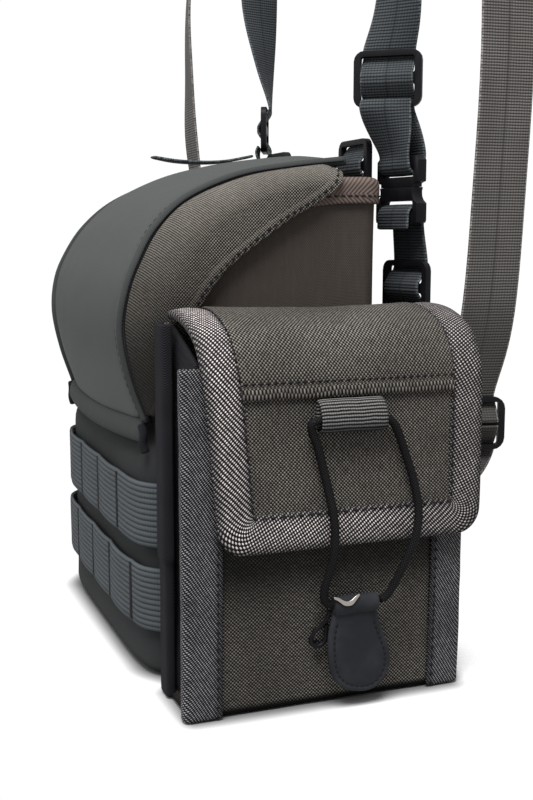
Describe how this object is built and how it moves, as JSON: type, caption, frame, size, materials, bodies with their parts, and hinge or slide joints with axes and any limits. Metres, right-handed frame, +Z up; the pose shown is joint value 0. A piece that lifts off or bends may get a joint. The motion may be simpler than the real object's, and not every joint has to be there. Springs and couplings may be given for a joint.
{
  "type": "binocular harness",
  "caption": "Chest-worn binocular harness: a padded case with an arched lid, a flap-top side pouch closed by an elastic cord, and buckled webbing straps that rise to a back patch.",
  "frame": {"origin": "hang point: middle of the back patch's top edge, where the harness hangs", "axes": "+Z up, -Y the way the case's front faces, +X the side with the pouch"},
  "size_m": [0.229, 0.1753, 0.6],
  "materials": {
    "case_cloth": "brown woven cloth over padding",
    "rim_tape": "herringbone tape",
    "lid_cloth": "smooth grey-green cloth over a stiff panel",
    "wing_canvas": "coarse olive canvas",
    "pouch_canvas": "dark olive-grey canvas",
    "binding_tape": "twill tape",
    "webbing": "ribbed webbing",
    "black_plastic": "moulded, satin black",
    "elastic_cord": "braided black cover",
    "pull_tab": "charcoal, stitched edge",
    "clip_metal": "bright metal"
  },
  "bodies": {
    "root": {"case_shell": "case_cloth", "case_rim_binding": "rim_tape", "molle_row_upper": "webbing", "molle_row_lower": "webbing", "lid_panel": "lid_cloth", "lid_piping_near": "lid_cloth", "lid_piping_far": "lid_cloth", "lid_wing_near": "wing_canvas", "lid_wing_far": "wing_canvas", "lid_hem": "lid_cloth", "pouch_body": "pouch_canvas", "pouch_front_binding_left": "binding_tape", "pouch_front_binding_right": "binding_tape", "pouch_back_binding_left": "binding_tape", "pouch_back_binding_right": "binding_tape", "flap_top_panel": "pouch_canvas", "flap_front_panel": "pouch_canvas", "flap_binding": "binding_tape", "flap_webbing_loop": "webbing", "bungee_cord": "elastic_cord", "pull_tab": "pull_tab", "pull_tab_clip": "clip_metal", "pouch_hook": "black_plastic", "shoulder_strap_near": "webbing", "strap_adjuster_near": "black_plastic", "buckle_plug_near": "black_plastic", "buckle_socket_near": "black_plastic", "link_strap_near": "webbing", "link_adjuster_near": "black_plastic", "side_tab_near": "webbing", "lower_strap_near": "webbing", "lower_lock_near": "black_plastic", "lower_tab_near": "webbing", "rim_anchor_near": "black_plastic", "rim_anchor_web_near": "webbing", "shoulder_strap_far": "webbing", "strap_adjuster_far": "black_plastic", "buckle_plug_far": "black_plastic", "buckle_socket_far": "black_plastic", "link_strap_far": "webbing", "link_adjuster_far": "black_plastic", "side_tab_far": "webbing", "lower_strap_far": "webbing", "lower_lock_far": "black_plastic", "lower_tab_far": "webbing", "rim_anchor_far": "black_plastic", "rim_anchor_web_far": "webbing", "far_strap_tail": "webbing", "back_patch": "pouch_canvas"}
  },
  "joints": []
}
